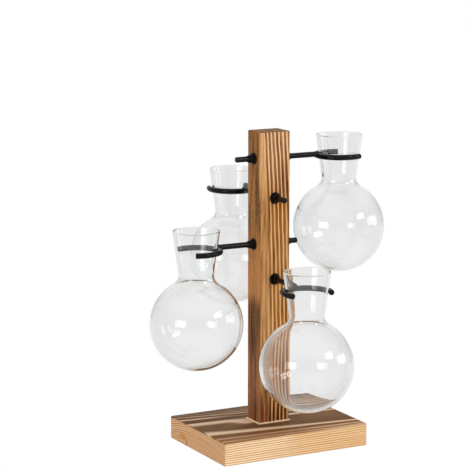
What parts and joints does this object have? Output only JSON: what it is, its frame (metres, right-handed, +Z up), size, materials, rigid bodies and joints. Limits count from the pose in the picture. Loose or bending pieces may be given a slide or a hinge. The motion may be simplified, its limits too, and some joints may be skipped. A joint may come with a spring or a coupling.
{
  "type": "propagation vase",
  "caption": "Torched pine board and post with black wire rings on swivelling arms, each holding a round clear glass flask for rooting cuttings in water.",
  "frame": {"origin": "middle of the base board's underside, on the surface that it stands on", "axes": "+Z up along the post, +X along the board's long side to the right, +Y to the back"},
  "size_m": [0.22, 0.213, 0.2748],
  "materials": {
    "torched_base": "pine board, torched brown bands on its top, pale sides, thin satin wax",
    "torched_post": "pine post with upright torched brown and pale stripes, thin satin wax",
    "screw_steel": "zinc plated",
    "black_metal": "smooth gloss black coating",
    "black_rubber": "smooth satin black rubber",
    "clear_glass": "thin clear blown glass, flame rounded lip"
  },
  "bodies": {
    "stand": {"base_board": "torched_base", "post": "torched_post", "post_screw_left": "screw_steel", "post_screw_right": "screw_steel"},
    "bushes_right": {"bush_right_ring_side": "black_rubber", "bush_right_tail_side": "black_rubber"},
    "holder_right": {"arm_right": "black_metal", "ring_right": "black_metal"},
    "flask_right": {"vessel_right": "clear_glass"},
    "bushes_back": {"bush_back_ring_side": "black_rubber", "bush_back_tail_side": "black_rubber"},
    "holder_back": {"arm_back": "black_metal", "ring_back": "black_metal"},
    "flask_back": {"vessel_back": "clear_glass"},
    "bushes_left": {"bush_left_ring_side": "black_rubber", "bush_left_tail_side": "black_rubber"},
    "holder_left": {"arm_left": "black_metal", "ring_left": "black_metal"},
    "flask_left": {"vessel_left": "clear_glass"},
    "bushes_front": {"bush_front_ring_side": "black_rubber", "bush_front_tail_side": "black_rubber"},
    "holder_front": {"arm_front": "black_metal", "ring_front": "black_metal"},
    "flask_front": {"vessel_front": "clear_glass"}
  },
  "joints": [
    {"name": "swivel_right", "type": "hinge", "parent": "stand", "child": "bushes_right", "pos_m": [0, 0, 0.25126], "axis": [1, 0, 0], "range_deg": [-20, 20]},
    {"name": "reach_right", "type": "slide", "parent": "bushes_right", "child": "holder_right", "axis": [1, 0, 0], "range_m": [0, 0.0145]},
    {"name": "lift_right", "type": "slide", "parent": "holder_right", "child": "flask_right", "axis": [0, 0, 1], "range_m": [0, 0.022]},
    {"name": "swivel_back", "type": "hinge", "parent": "stand", "child": "bushes_back", "pos_m": [0, 0, 0.21776], "axis": [0, 1, 0], "range_deg": [-20, 20]},
    {"name": "reach_back", "type": "slide", "parent": "bushes_back", "child": "holder_back", "axis": [0, 1, 0], "range_m": [0, 0.0145]},
    {"name": "lift_back", "type": "slide", "parent": "holder_back", "child": "flask_back", "axis": [0, 0, 1], "range_m": [0, 0.022]},
    {"name": "swivel_left", "type": "hinge", "parent": "stand", "child": "bushes_left", "pos_m": [0, 0, 0.17726], "axis": [-1, 0, 0], "range_deg": [-20, 20]},
    {"name": "reach_left", "type": "slide", "parent": "bushes_left", "child": "holder_left", "axis": [-1, 0, 0], "range_m": [0, 0.01]},
    {"name": "lift_left", "type": "slide", "parent": "holder_left", "child": "flask_left", "axis": [0, 0, 1], "range_m": [0, 0.022]},
    {"name": "swivel_front", "type": "hinge", "parent": "stand", "child": "bushes_front", "pos_m": [0, 0, 0.14726], "axis": [0, -1, 0], "range_deg": [-20, 20]},
    {"name": "reach_front", "type": "slide", "parent": "bushes_front", "child": "holder_front", "axis": [0, -1, 0], "range_m": [0, 0.01]},
    {"name": "lift_front", "type": "slide", "parent": "holder_front", "child": "flask_front", "axis": [0, 0, 1], "range_m": [0, 0.022]}
  ]
}
